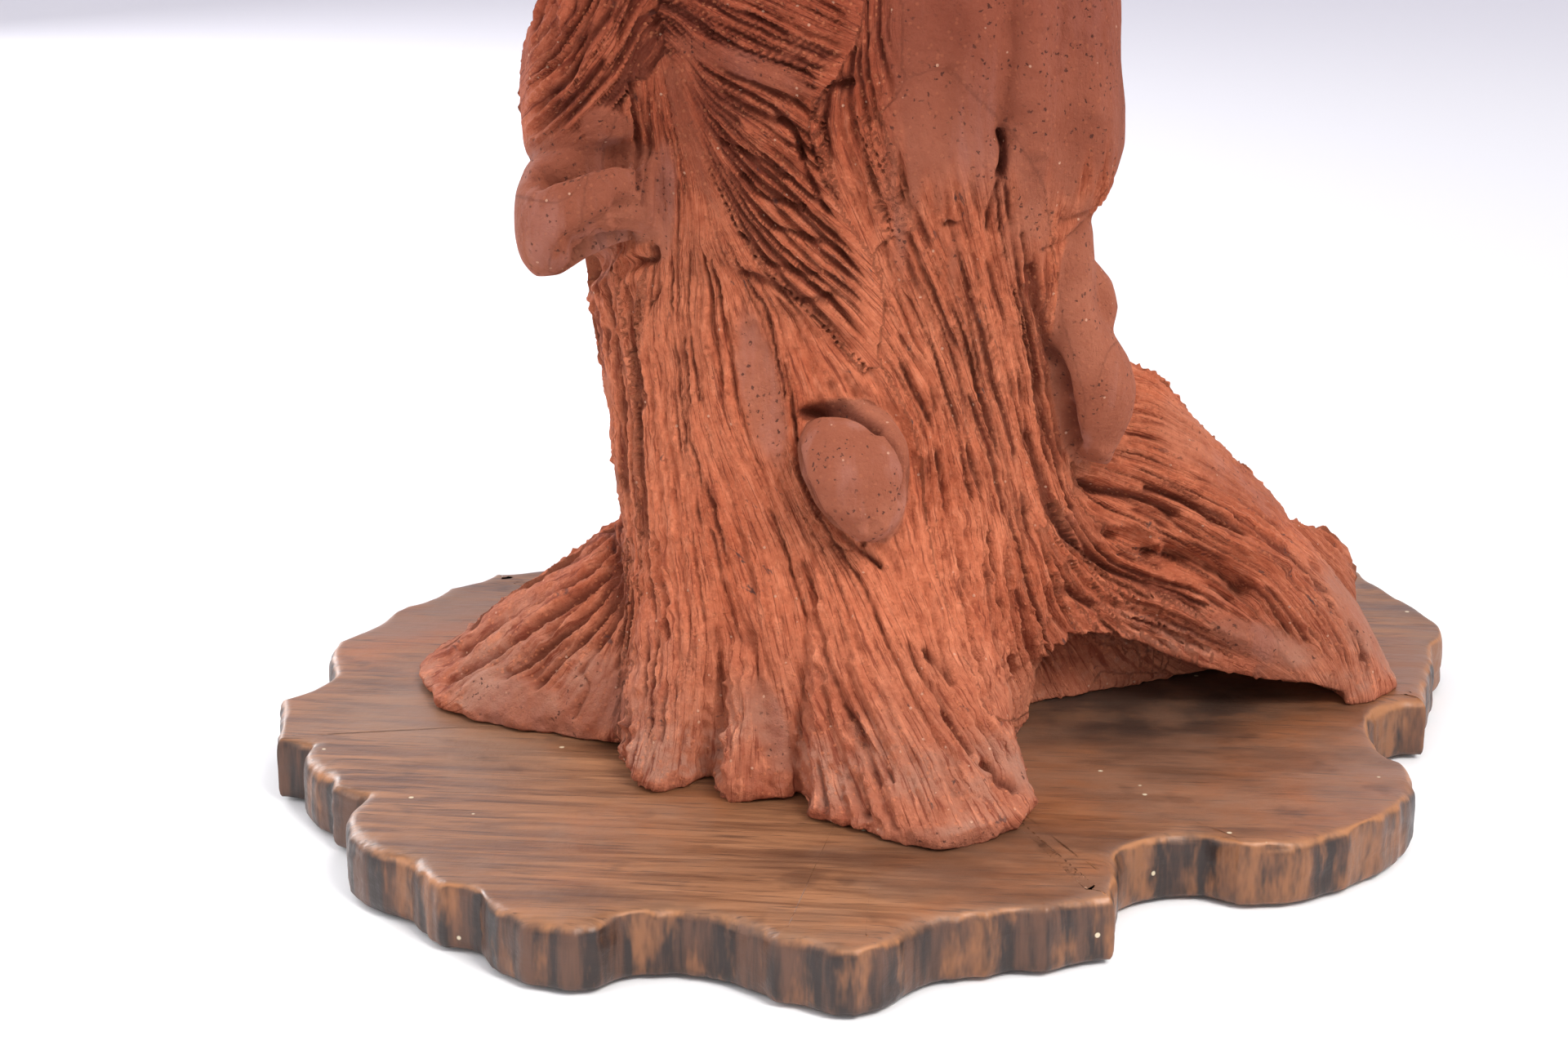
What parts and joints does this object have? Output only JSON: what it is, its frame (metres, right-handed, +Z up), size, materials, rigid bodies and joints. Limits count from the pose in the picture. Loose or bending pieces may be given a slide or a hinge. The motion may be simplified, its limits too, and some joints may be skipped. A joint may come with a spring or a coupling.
{
  "type": "sculpture turntable",
  "caption": "Scalloped dark wooden board on a hidden low ball race, carrying a combed terracotta tree stump with flared roots; the board and the stump turn together.",
  "frame": {"origin": "on the table under the turning axis, at the centre of the board's box", "axes": "+Z up along the turning axis, +Y away from the side with the knot and the long front root, +X to the right seen from that side"},
  "size_m": [0.4, 0.3745, 0.2775],
  "materials": {
    "terracotta": "matte",
    "terracotta_smooth": "matte",
    "stained_wood": "satin",
    "plaster": "matte",
    "zinc_steel": "satin",
    "bright_steel": "gloss",
    "nylon": "satin",
    "rubber": "matte"
  },
  "bodies": {
    "base": {"feet": "rubber", "base_plate": "zinc_steel", "pivot_pin": "bright_steel", "pivot_clip": "bright_steel"},
    "ball_race": {"balls": "bright_steel", "ball_cage": "nylon"},
    "turntable": {"top_plate": "zinc_steel", "plate_screws": "bright_steel", "board": "stained_wood", "studs": "bright_steel", "washers": "zinc_steel", "nuts": "zinc_steel", "plaster_core": "plaster", "trunk": "terracotta", "bark_lobe": "terracotta", "branch_stub": "terracotta_smooth", "knot": "terracotta_smooth", "drape": "terracotta_smooth", "drape_tongue": "terracotta_smooth", "left_root": "terracotta", "front_left_root": "terracotta", "front_root": "terracotta", "right_root": "terracotta", "right_back_root": "terracotta", "back_root": "terracotta"}
  },
  "joints": [
    {"name": "turntable_spin", "type": "hinge", "parent": "base", "child": "turntable", "pos_m": [0, 0, 0.0063], "axis": [0, 0, 1], "continuous": true},
    {"name": "ball_race_spin", "type": "hinge", "parent": "base", "child": "ball_race", "pos_m": [0, 0, 0.0049], "axis": [0, 0, 1], "continuous": true}
  ],
  "couplings": [
    {"joint": "ball_race_spin", "follows": "turntable_spin", "ratio": 0.5}
  ]
}
